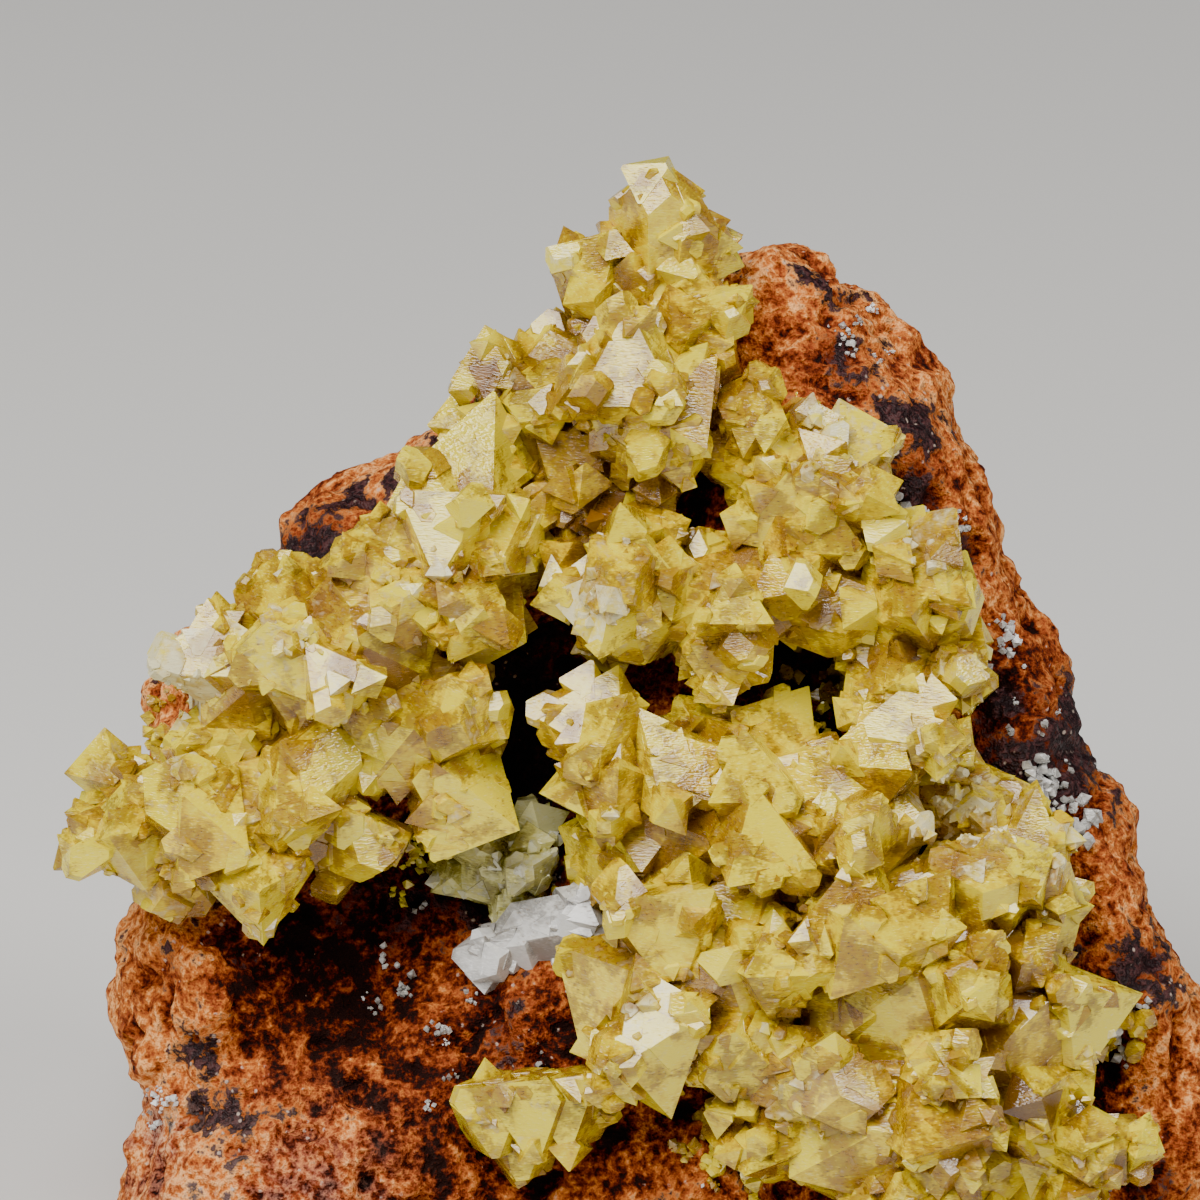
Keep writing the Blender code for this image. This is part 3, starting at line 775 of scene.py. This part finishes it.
@dataclass
class Spray:
    """A cluster of crystals that stands for a CAD node: its solid with finer growth on it."""

    node: str
    slot: str
    finish: CrystalFinish
    seed: int
    growths: tuple[Growth, ...]
    character: Character = Character()
    flat: float = math.radians(0.5)
    hidden_reach: float = 1.6
    root_depth: float = 4.0
    turns: tuple[float, ...] = (0.0, 90.0, 120.0, 180.0, 240.0)

    def build(self, source: bpy.types.Object, stock: CrystalStock,
              matrix: BVHTree) -> bpy.types.Object:
        """Builds the spray.

        Args:
            source: The CAD node.
            stock: The crystal shapes.
            matrix: The rock it grows on.

        Returns:
            The finished piece.
        """
        rng = random.Random(self.seed)
        bm = clean_copy(source, self.flat)
        marks = {name: bm.faces.layers.float.new(name) for name in SHADES}
        for face in bm.faces:
            values = self.character.marks(face.calc_center_median(), rng)
            for name, layer in marks.items():
                face[layer] = values[name]
        piece = to_object(bm, f"{self.node}_crystals")
        for number, growth in enumerate(self.growths):
            self._grow(piece, growth, stock, matrix, rng, number)
        self._paint_crevice_shade(piece, matrix, rng)
        piece.data.materials.clear()  # a union leaves an empty slot
        piece.data.materials.append(self.finish.build())
        piece.data.shade_flat()
        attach(piece, BODY)
        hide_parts(self.node)
        return piece

    @staticmethod
    def _paint_crevice_shade(piece: bpy.types.Object, matrix: BVHTree, rng: random.Random) -> None:
        """Stores on each point what share of short rays outward meet crystal or rock: the painted
        shade that the finish lays between crystals.

        Args:
            piece: The spray.
            matrix: The rock.
            rng: Draws the rays.
        """
        rays, reach, clearance, outward = 7, 2.6, 0.03, 1.1
        bm = bmesh.new()
        bm.from_mesh(piece.data)
        shape = BVHTree.FromBMesh(bm)
        layer = bm.verts.layers.float.new("crevice_painted_shade")
        for vertex in bm.verts:
            start = vertex.co + vertex.normal * clearance * MM
            hits = 0
            for _ in range(rays):
                direction = (random_axis(rng) + outward * vertex.normal).normalized()
                hits += any(tree.ray_cast(start, direction, reach * MM)[0] is not None
                            for tree in (shape, matrix))
            vertex[layer] = hits / rays
        bm.to_mesh(piece.data)
        bm.free()

    def _grow(self, piece: bpy.types.Object, growth: Growth, stock: CrystalStock,
              matrix: BVHTree, rng: random.Random, number: int) -> None:
        """Unites one generation of crystals with the piece.

        Args:
            piece: The spray so far.
            growth: The generation.
            stock: The crystal shapes.
            matrix: The rock.
            rng: Draws places and shapes.
            number: The generation's number.
        """
        bm = bmesh.new()
        bm.from_mesh(piece.data)
        buds = bpy.data.collections.new(f"{self.node}_growth_{number}")
        bpy.context.scene.collection.children.link(buds)
        middle = sum((vertex.co for vertex in bm.verts), Vector()) / len(bm.verts)
        middle -= FACE.out() * self.root_depth * MM
        shape = BVHTree.FromBMesh(bm)
        faces = list(bm.faces)
        areas = [face.calc_area() for face in faces]
        count = round(sum(areas) * CM2_PER_M2 * growth.per_cm2)
        for index, face in enumerate(rng.choices(faces, weights=areas, k=count)):
            point = self._point_on(face, rng)
            kind = rng.randrange(stock.kinds)
            girth = rng.uniform(*growth.girth)
            turn = rng.choice(self.turns)
            wobble = Matrix.Rotation(math.radians(rng.gauss(0.0, growth.unruly)), 3,
                                     random_axis(rng))
            rise = rng.uniform(*growth.rise)
            values = self.character.marks(point, rng)
            if matrix.ray_cast(point, face.normal, self.hidden_reach * MM)[0] is not None:
                continue
            if not self._takes(growth.ground, shape, face, point, values["frost_and_reflection"], rng):
                continue
            values["frost_and_reflection"] += growth.frosting
            axes, height = self._stand(growth.stance, face, point - middle, turn, stock, kind)
            if growth.stance is Stance.STEP:
                lift = rise - height * girth
            else:
                lift = (rise - height) * girth
            centre = point + face.normal * lift * MM
            bud = stock.crystal(centre, wobble @ axes, girth, values, kind)
            buds.objects.link(bpy.data.objects.new(f"{self.node}_bud_{number}_{index}", bud))
        bm.free()
        union = piece.modifiers.new("growth", "BOOLEAN")
        union.operation = "UNION"
        union.operand_type = "COLLECTION"
        union.collection = buds
        union.solver = "MANIFOLD"
        apply_modifiers(piece)
        for mesh in [bud.data for bud in buds.objects]:
            bpy.data.meshes.remove(mesh)
        bpy.data.collections.remove(buds)

    def _takes(self, ground: Ground, shape: BVHTree, face: bmesh.types.BMFace, point: Vector,
               frost_and_reflection: float, rng: random.Random) -> bool:
        """Tells whether a crystal takes hold. In a corner, a short ray meets another crystal.

        Args:
            ground: Where its generation grows.
            shape: The spray so far.
            face: The face under it.
            point: Its place on the face.
            frost_and_reflection: How white it is, from frosting and from a painted reflection.
            rng: Draws how it falls out, and the rays.

        Returns:
            Whether it does.
        """
        often_under, broad = 1.6, 0.8  # mm2
        least_frost = 0.25
        rays, reach, clearance, outward, lowest = 5, 1.2, 0.02, 0.8, 0.1
        area = face.calc_area() / MM ** 2
        if ground is Ground.FACETS:
            covered = 1.0 - strongest(self.character.bare, FACE.local(point))
            return rng.random() < covered * min(1.0, often_under / area)
        if ground is Ground.BROAD:
            return area > broad
        if ground is Ground.FROSTED:
            return rng.random() < frost_and_reflection - least_frost
        start = point + face.normal * clearance * MM
        for _ in range(rays):
            direction = (random_axis(rng) + face.normal * outward).normalized()
            if direction.dot(face.normal) < lowest:
                continue
            if shape.ray_cast(start, direction, reach * MM)[0] is not None:
                return True
        return False

    @staticmethod
    def _point_on(face: bmesh.types.BMFace, rng: random.Random) -> Vector:
        """Draws a point on a face.

        Args:
            face: The face.
            rng: Where it is drawn from.

        Returns:
            The point.
        """
        corners = [vertex.co for vertex in face.verts]
        first = rng.randrange(1, len(corners) - 1)
        along, across = rng.random(), rng.random()
        if along + across > 1.0:
            along, across = 1.0 - along, 1.0 - across
        return (corners[0] + (corners[first] - corners[0]) * along
                + (corners[first + 1] - corners[0]) * across)

    @staticmethod
    def _stand(stance: Stance, face: bmesh.types.BMFace, outward: Vector, turn: float,
               stock: CrystalStock, kind: int) -> tuple[Matrix, float]:
        """Stands a crystal on a face.

        Args:
            stance: How it stands.
            face: The face.
            outward: The way out of the spray.
            turn: How far it is turned, in degrees.
            stock: The crystal shapes.
            kind: Which of them it has.

        Returns:
            Its axes, and how far its top is from its middle, in girths.
        """
        longest = max(face.edges, key=lambda edge: edge.calc_length())
        along = longest.verts[1].co - longest.verts[0].co
        if stance is Stance.STEP:
            axes = frame_on(face.normal, along) @ Matrix.Rotation(math.radians(turn), 3, "Z")
            axes = axes @ Matrix.Rotation(stock.habit.tip_lean(), 3, "X")
            return axes, stock.shapes[kind][1]
        fanning, tip_height = 0.9, 1.2
        pointing = (face.normal + fanning * outward.normalized()).normalized()
        axes = frame_on(pointing, along) @ Matrix.Rotation(math.radians(turn), 3, "Z")
        return axes, tip_height


# ---------- the matrix


@dataclass
class Rock:
    """The gossan matrix: the CAD solid, rounded, broken up and pitted at a finer grain."""

    node: str = "matrix"
    slot: str = "gossan"
    finish: GossanFinish = GossanFinish()
    voxel: float = 0.338
    rounding: float = 0.5
    rounding_passes: int = 8
    base_band: float = 1.2
    lift: float = 0.12
    swell: tuple[float, ...] = (0.50, 5.0, 1.0, 2.0, 2)  # height, size, and the fractal's terms
    lumps: tuple[float, ...] = (0.42, 2.0, 0.9, 2.1, 3)
    pit_depth: float = 0.55
    pit_size: float = 1.6
    pitting: Range = (0.22, 0.55)
    pit_offset: tuple[int, int, int] = (3, 7, 1)
    grain_height: float = 0.30
    coarser_grain: float = 0.25
    grain_middle: float = 0.42
    shaded_pits: Range = (0.05, -0.55)
    goethite_and_shadow_facing: float = -0.2
    red_facing: float = 0.1
    # maroon patches of the face; the first, under the left spray, is painted shade
    red_and_shaded_places: tuple[Spot, ...] = (
        Spot(-15.5, 21.5, 7.0), Spot(-6.0, 31.0, 7.0), Spot(-8.0, 14.0, 8.0, 0.85),
        Spot(2.0, 40.0, 8.0), Spot(9.0, 33.0, 7.0), Spot(-18.0, 14.0, 4.0, 0.55),
        Spot(6.0, 20.0, 13.0), Spot(17.0, 33.0, 5.0, 0.6), Spot(20.0, 12.0, 5.0, 0.7),
        Spot(-3.0, 6.0, 8.0, 0.6), Spot(13.0, 44.0, 3.0, 0.5),
    )
    # goethite patches; the two at u -7, v 31 and u -12, v 24, in the hollow between the left and
    # lower sprays, are painted shadow
    goethite_and_shadow_places: tuple[Spot, ...] = (
        Spot(8.4, 49.8, 2.6), Spot(12.4, 43.0, 1.6), Spot(19.4, 28.4, 3.8),
        Spot(21.6, 18.4, 3.2), Spot(-16.8, 41.0, 2.8), Spot(-7.0, 31.0, 5.0),
        Spot(-12.0, 24.0, 4.0, 0.8), Spot(14.0, 41.0, 1.8), Spot(17.6, 33.4, 1.6),
        Spot(25.0, 8.6, 2.0), Spot(-2.4, 14.6, 1.6, 0.8),
    )
    pale_places: tuple[Spot, ...] = (
        Spot(-25.4, 11.4, 1.6, 0.9), Spot(-17.6, 7.2, 4.0, 0.45), Spot(-25.0, 6.0, 4.0, 0.45),
    )

    def build(self, source: bpy.types.Object) -> bpy.types.Object:
        """Builds the matrix.

        Args:
            source: The CAD node.

        Returns:
            The finished piece.
        """
        piece = to_object(clean_copy(source), "matrix_rock")
        remesh = piece.modifiers.new("grain", "REMESH")
        remesh.mode = "VOXEL"
        remesh.voxel_size = self.voxel * MM
        apply_modifiers(piece)
        bm = bmesh.new()
        bm.from_mesh(piece.data)
        for _ in range(self.rounding_passes):
            loose = [vertex for vertex in bm.verts if vertex.co.z > self.base_band * MM]
            bmesh.ops.smooth_vert(bm, verts=loose, factor=self.rounding, use_axis_x=True,
                                  use_axis_y=True, use_axis_z=True)
        bm.normal_update()
        self._roughen(bm)
        bmesh.ops.recalc_face_normals(bm, faces=bm.faces)
        bm.to_mesh(piece.data)
        bm.free()
        piece.data.materials.append(self.finish.build())
        piece.data.shade_smooth()
        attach(piece, BODY)
        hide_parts(self.node)
        return piece

    def _roughen(self, bm: bmesh.types.BMesh) -> None:
        """Moves the points in and out, and stores where each colour of the rock lies.

        Args:
            bm: The rock.
        """
        marks = {name: bm.verts.layers.float.new(name) for name in EARTHS}
        moves = []
        for vertex in bm.verts:
            point = vertex.co / MM
            place = FACE.local(vertex.co)
            facing = vertex.normal.dot(FACE.out())
            black_and_shadow = strongest(self.goethite_and_shadow_places, place) * (facing > self.goethite_and_shadow_facing)
            # painted light and shade: points facing sideways stay ochre as if lit, and the maroon
            # patch under the left spray stands for its shadow
            red_and_shade = strongest(self.red_and_shaded_places, place) * (facing > self.red_facing)
            height = self._height(point, max(black_and_shadow, red_and_shade))
            keep = smoothstep(0.0, self.base_band, point.z)
            moves.append(vertex.normal * (height * keep) * MM)
            vertex[marks["black_and_shadow"]] = black_and_shadow
            vertex[marks["ochre_and_lit_rims"]] = 1.0 - red_and_shade
            vertex[marks["pale"]] = strongest(self.pale_places, place) * (facing > 0.0)
            # painted shade in the pits: the lower a point lies, the darker it is painted
            vertex[marks["pit_shade"]] = smoothstep(*self.shaded_pits, height)
        for vertex, move in zip(bm.verts, moves):
            vertex.co += move
            vertex.co.z = max(vertex.co.z, 0.0)

    def _height(self, point: Vector, granular: float) -> float:
        """Gives how far the rock stands out here.

        Args:
            point: The place, in the specimen's frame.
            granular: How much of it lies in the dark or maroon patches, which have coarser knobs
                and grains.

        Returns:
            The height.
        """
        height = self.lift
        for amount, size, *fractal in (self.swell, self.lumps):
            height += amount * noise.fractal(point / size, *fractal)
        pit = noise.noise(point / self.pit_size + Vector(self.pit_offset))
        height -= self.pit_depth * smoothstep(*self.pitting, pit)
        near = noise.voronoi(point)[0][0]
        amount = self.grain_height + self.coarser_grain * granular
        return height + amount * (self.grain_middle - near)


# ---------- crystals strewn on the matrix


@dataclass(frozen=True)
class Bed:
    """A patch of the matrix that carries crusts of small crystals."""

    u: float
    v: float
    radius: float
    crusts: int
    girth: Range


@dataclass
class Druse:
    """Small crystals seated on the matrix in crusts, beside the sprays."""

    name: str
    slot: str
    finish: CrystalFinish
    beds: tuple[Bed, ...]
    seed: int
    frost_and_reflection: float
    frost_spread: float = 0.2
    amber: Range = (-0.1, 0.25)  # mean and spread
    # painted shade between crystals, the same for every druse crystal
    crevice_painted_shade: float = 0.15
    sunk: float = 0.45
    unruly: float = 26.0
    crust: tuple[int, int] = (2, 9)
    smaller: Range = (0.35, 1.0)
    spread: float = 1.5
    seated_from: float = 30.0

    def build(self, rock: bpy.types.Object, stock: CrystalStock) -> bpy.types.Object:
        """Builds the druse.

        Args:
            rock: The finished matrix.
            stock: The crystal shapes.

        Returns:
            The finished piece.
        """
        rng = random.Random(self.seed)
        made = bmesh.new()
        made.from_mesh(rock.data)
        ground = BVHTree.FromBMesh(made)
        made.clear()
        for start, girth, marks in self._crystals(rng):
            kind = rng.randrange(stock.kinds)
            along = random_axis(rng)
            wobble = Matrix.Rotation(math.radians(rng.gauss(0.0, self.unruly)), 3,
                                     random_axis(rng))
            seat, normal, _, _ = ground.ray_cast(start, -FACE.out())
            if seat is None:
                continue
            centre = seat + normal * (1.0 - self.sunk) * girth * MM
            crystal = stock.crystal(centre, wobble @ frame_on(normal, along), girth, marks, kind)
            made.from_mesh(crystal)
            bpy.data.meshes.remove(crystal)
        piece = to_object(made, self.name)
        piece.data.materials.append(self.finish.build())
        piece.data.shade_flat()
        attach(piece, BODY)
        return piece

    def _crystals(self, rng: random.Random) -> Iterator[tuple[Vector, float, dict[str, float]]]:
        """Draws the crystals, crust by crust.

        Args:
            rng: Where they are drawn from.

        Yields:
            A point in front of the crystal, its girth, and the values stored on its faces.
        """
        for bed in self.beds:
            for _ in range(bed.crusts):
                u = rng.gauss(bed.u, bed.radius / 2.0)
                v = rng.gauss(bed.v, bed.radius / 2.0)
                largest = rng.uniform(*bed.girth)
                marks = {
                    "tint": rng.random(),
                    "frost_and_reflection": self.frost_and_reflection + rng.gauss(0.0, self.frost_spread),
                    "amber": max(0.0, rng.gauss(*self.amber)), "crevice_painted_shade": self.crevice_painted_shade,
                }
                for _ in range(rng.randint(*self.crust)):
                    away = self.spread * largest
                    start = FACE.place(rng.gauss(u, away), rng.gauss(v, away), self.seated_from)
                    yield start, largest * rng.uniform(*self.smaller), marks


# ---------- stage, lights and camera


@dataclass(frozen=True)
class Softbox:
    """A square softbox aimed at the specimen, with angles in degrees and lengths in metres."""

    name: str
    azimuth: float
    elevation: float
    distance: float
    size: float
    watts: float
    colour: Colour

    def build(self, target: Vector) -> None:
        """Hangs the softbox.

        Args:
            target: What it is aimed at, in metres.
        """
        around, up = math.radians(self.azimuth), math.radians(self.elevation)
        toward = Vector((math.sin(around) * math.cos(up), -math.cos(around) * math.cos(up),
                         math.sin(up)))
        light = bpy.data.lights.new(self.name, "AREA")
        light.shape = "SQUARE"
        light.size = self.size
        light.energy = self.watts
        light.color = self.colour
        made = bpy.data.objects.new(self.name, light)
        made.location = target + toward * self.distance
        made.rotation_euler = (-toward).to_track_quat("-Z", "Y").to_euler()
        bpy.context.scene.collection.objects.link(made)


@dataclass(frozen=True)
class Studio:
    """A pale floor, softboxes and the camera, square to the crystal face."""

    view_width: float = 60.0
    aim: tuple[float, float] = (-3.0, 38.0)
    lens: float = 250.0
    sensor: float = 36.0
    nearest_m: float = 0.01
    floor_m: float = 6.0
    sky: Colour = (0.80, 0.84, 0.90)
    sky_strength: float = 0.23
    contrast: str = "AgX - Punchy"
    finish: PaperFinish = PaperFinish()
    lights: tuple[Softbox, ...] = (
        Softbox("key", -30.0, 55.0, 0.55, 0.40, 8.3, (1.0, 0.98, 0.95)),
        Softbox("rim", 70.0, 35.0, 0.60, 0.22, 2.8, (1.0, 0.97, 0.93)),
        Softbox("fill", -75.0, 12.0, 0.60, 0.30, 1.0, (0.95, 0.98, 1.0)),
    )

    def build(self) -> None:
        """Sets up the floor, the sky, the lights and the camera."""
        bm = bmesh.new()
        bmesh.ops.create_grid(bm, x_segments=1, y_segments=1, size=self.floor_m / 2.0)
        floor = to_object(bm, "floor")
        floor.data.materials.append(self.finish.build())
        world = bpy.data.worlds.new("sky")
        world.use_nodes = True
        background = world.node_tree.nodes["Background"]
        background.inputs["Color"].default_value = (*self.sky, 1.0)
        background.inputs["Strength"].default_value = self.sky_strength
        world.cycles.sampling_method = "NONE"
        bpy.context.scene.world = world
        bpy.context.scene.view_settings.look = self.contrast
        target = FACE.place(*self.aim)
        for light in self.lights:
            light.build(target)
        self._camera(target)

    def _camera(self, target: Vector) -> None:
        """Stands the camera square to the crystal face.

        Args:
            target: The middle of its view, in metres.
        """
        camera = bpy.data.cameras.new("camera")
        camera.lens = self.lens
        camera.sensor_width = self.sensor
        camera.clip_start = self.nearest_m
        made = bpy.data.objects.new("camera", camera)
        distance = self.view_width * self.lens / self.sensor * MM
        axes = Matrix((FACE.right(), FACE.up(), FACE.out())).transposed()
        made.matrix_world = Matrix.Translation(target + FACE.out() * distance) @ axes.to_4x4()
        bpy.context.scene.collection.objects.link(made)
        bpy.context.scene.camera = made


# ---------- the specimen

YELLOW = CrystalFinish(
    name="adamite_yellow",
    pale=(0.77, 0.64, 0.03), lemon=(0.68, 0.49, 0.004), deep=(0.58, 0.33, 0.002),
    rich=(0.38, 0.165, 0.003), amber=(0.19, 0.075, 0.008),
    frost_and_reflection=(0.73, 0.67, 0.40), clear=(0.99, 0.88, 0.28),
    absorbed=(0.91, 0.80, 0.06), absorption_per_m=350.0,
)
PALE_GREEN = CrystalFinish(
    name="adamite_pale_green",
    pale=(0.74, 0.72, 0.34), lemon=(0.62, 0.58, 0.17), deep=(0.47, 0.40, 0.09),
    rich=(0.34, 0.26, 0.06), amber=(0.26, 0.18, 0.06),
    frost_and_reflection=(0.76, 0.77, 0.64), clear=(0.94, 0.93, 0.72),
    absorbed=(0.86, 0.84, 0.5), absorption_per_m=160.0,
)
COLOURLESS = CrystalFinish(
    name="calcite_colourless",
    pale=(0.66, 0.66, 0.65), lemon=(0.58, 0.57, 0.55), deep=(0.46, 0.44, 0.41),
    rich=(0.42, 0.38, 0.34), amber=(0.40, 0.30, 0.22),
    frost_and_reflection=(0.78, 0.78, 0.77), clear=(0.98, 0.98, 0.98),
    absorbed=(0.9, 0.9, 0.88), absorption_per_m=60.0, index=1.6,
)

BLOCKS = Growth(Stance.STEP, Ground.FACETS, 7.0, (1.1, 2.0), (0.15, 0.6), 3.0)
STEPS = Growth(Stance.STEP, Ground.FACETS, 7.0, (0.6, 1.1), (0.06, 0.3), 3.0)
WEDGES = Growth(Stance.TIP, Ground.FACETS, 2.0, (0.5, 0.9), (0.2, 0.7), 16.0)
HILLOCKS = Growth(Stance.STEP, Ground.BROAD, 40.0, (0.3, 0.9), (0.015, 0.06), 1.0)
SMALL_STEPS = Growth(Stance.STEP, Ground.CORNERS, 9.0, (0.25, 0.6), (0.05, 0.25), 5.0, 0.04)
CRUMBS = Growth(Stance.TIP, Ground.CORNERS, 12.0, (0.15, 0.4), (0.2, 0.7), 25.0, 0.12)
DRUSE = Growth(Stance.TIP, Ground.FROSTED, 220.0, (0.12, 0.34), (0.1, 0.7), 25.0, 0.15)
WHITE_DRUSE = Druse(
    name="rock_druse_white", slot="calcite_colourless", finish=COLOURLESS, seed=211,
    frost_and_reflection=0.36, beds=(
        Bed(18.6, 27.4, 2.2, 34, (0.10, 0.36)), Bed(16.4, 35.0, 2.4, 16, (0.08, 0.24)),
        Bed(12.6, 41.4, 2.4, 20, (0.08, 0.26)), Bed(9.4, 50.6, 3.0, 8, (0.06, 0.16)),
        Bed(-12.5, 17.0, 7.0, 12, (0.06, 0.18)), Bed(-25.2, 12.2, 1.4, 10, (0.06, 0.2)),
        Bed(-4.0, 20.6, 3.0, 24, (0.08, 0.30)), Bed(4.0, 8.6, 5.0, 12, (0.06, 0.22)),
        Bed(19.6, 8.2, 4.0, 14, (0.06, 0.26)), Bed(22.0, 17.0, 1.8, 18, (0.08, 0.34)),
        Bed(-8.6, 48.0, 2.4, 12, (0.08, 0.26)), Bed(19.6, 31.4, 3.0, 6, (0.05, 0.16)),
    ),
)
YELLOW_DRUSE = Druse(
    name="rock_druse_yellow", slot="adamite_yellow", finish=YELLOW, seed=212, frost_and_reflection=0.15, beds=(
        Bed(22.0, 16.4, 1.8, 10, (0.2, 0.6)), Bed(8.6, 33.6, 2.6, 12, (0.14, 0.5)),
        Bed(-4.0, 23.4, 2.4, 10, (0.12, 0.45)), Bed(-24.4, 33.0, 2.2, 8, (0.14, 0.5)),
        Bed(4.0, 9.6, 2.4, 8, (0.12, 0.4)), Bed(-12.4, 25.6, 2.4, 7, (0.12, 0.4)),
    ),
)

COARSE = (BLOCKS, STEPS, WEDGES, HILLOCKS, SMALL_STEPS, CRUMBS, DRUSE)

SPRAYS = (
    Spray("upper_spray", "adamite_yellow", YELLOW, 101, COARSE, Character(
        frost_and_reflection=(Spot(8.9, 46.8, 2.6, 0.6), Spot(-3.4, 37.4, 2.0, 0.7), Spot(-7.6, 49.4, 1.6, 0.4)),
        amber=(Spot(-7.75, 49.25, 3.0, 0.8), Spot(-2.9, 42.0, 2.2, 0.9), Spot(1.0, 41.0, 2.0, 0.4)),
        bare=(Spot(-0.25, 57.75, 4.0), Spot(-1.9, 48.75, 3.2), Spot(1.0, 52.4, 2.4),
              Spot(0.8, 45.4, 2.6), Spot(-4.5, 45.5, 2.8), Spot(-5.75, 52.0, 2.8),
              Spot(3.85, 37.6, 2.4), Spot(-4.0, 37.4, 2.6), Spot(6.0, 45.0, 3.0, 0.6)),
    )),
    Spray("left_spray", "adamite_yellow", YELLOW, 102, COARSE, Character(
        frost_and_reflection=(Spot(-11.5, 39.5, 2.6, 0.4), Spot(-18.0, 34.8, 3.4, 0.45), Spot(-25.0, 33.5, 3.0),
               Spot(-21.0, 27.0, 2.6, 0.35)),
        amber=(Spot(-28.0, 27.0, 2.6, 0.35), Spot(-22.0, 21.5, 2.0, 0.3)),
        bare=(Spot(-10.8, 41.75, 2.8), Spot(-9.9, 37.1, 1.8), Spot(-18.0, 34.75, 3.4),
              Spot(-20.1, 30.0, 2.2), Spot(-22.6, 25.6, 3.2), Spot(-27.7, 30.6, 2.4),
              Spot(-21.0, 36.5, 2.6), Spot(-13.0, 28.0, 3.0, 0.5)),
    )),
    Spray("lower_spray", "adamite_yellow", YELLOW, 103, COARSE, Character(
        frost_and_reflection=(Spot(15.0, 27.8, 2.8, 0.75), Spot(20.0, 25.0, 1.6, 0.6), Spot(6.1, 14.0, 2.0, 0.5),
               Spot(0.0, 18.0, 2.4, 0.4), Spot(22.6, 15.0, 2.0, 0.5)),
        amber=(Spot(-2.0, 30.6, 3.0, 0.4), Spot(19.0, 21.0, 4.0, 0.4), Spot(20.0, 12.0, 4.0, 0.45),
               Spot(4.0, 12.0, 2.5, 0.4)),
        bare=(Spot(-0.9, 26.5, 2.8), Spot(4.85, 25.9, 2.6), Spot(-0.25, 17.9, 3.0),
              Spot(6.1, 14.0, 2.4), Spot(14.6, 14.0, 2.6), Spot(13.1, 23.5, 2.8),
              Spot(-2.5, 31.5, 3.4), Spot(18.0, 24.6, 2.8), Spot(8.0, 19.0, 3.0, 0.5)),
    )),
    Spray("side_spray", "adamite_yellow", YELLOW, 104, COARSE, Character(
        frost_and_reflection=(Spot(12.4, 40.6, 1.6, 0.5), Spot(15.0, 34.2, 1.6, 0.5)),
        amber=(Spot(11.6, 33.6, 2.0, 0.4),),
    )),
    Spray("lone_crystal", "adamite_yellow", YELLOW, 105, (HILLOCKS, SMALL_STEPS), Character(
        frost_and_reflection=(Spot(-9.0, 12.6, 1.2, 0.4),),
    )),
    Spray("pale_spray", "adamite_pale_green", PALE_GREEN, 106,
          (STEPS, HILLOCKS, SMALL_STEPS, CRUMBS, DRUSE), Character(frost_everywhere=0.38)),
    Spray("colourless_crystals", "calcite_colourless", COLOURLESS, 107, (HILLOCKS, SMALL_STEPS),
          Character(frost_everywhere=0.45)),
)


def main() -> None:
    """Builds the matrix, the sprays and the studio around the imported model."""
    logging.basicConfig(level=logging.INFO, format="%(name)s: %(message)s")
    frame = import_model()
    nodes = frame["nodes"]
    Studio().build()
    bm = clean_copy(nodes["matrix"])
    rock = BVHTree.FromBMesh(bm)
    bm.free()
    stock = CrystalStock()
    pieces = [Rock().build(nodes["matrix"])]
    pieces += [spray.build(nodes[spray.node], stock, rock) for spray in SPRAYS]
    pieces += [druse.build(pieces[0], stock) for druse in (WHITE_DRUSE, YELLOW_DRUSE)]
    for piece in pieces:
        LOG.info("%s: %d faces", piece.name, len(piece.data.polygons))


if __name__ == "__main__":
    main()
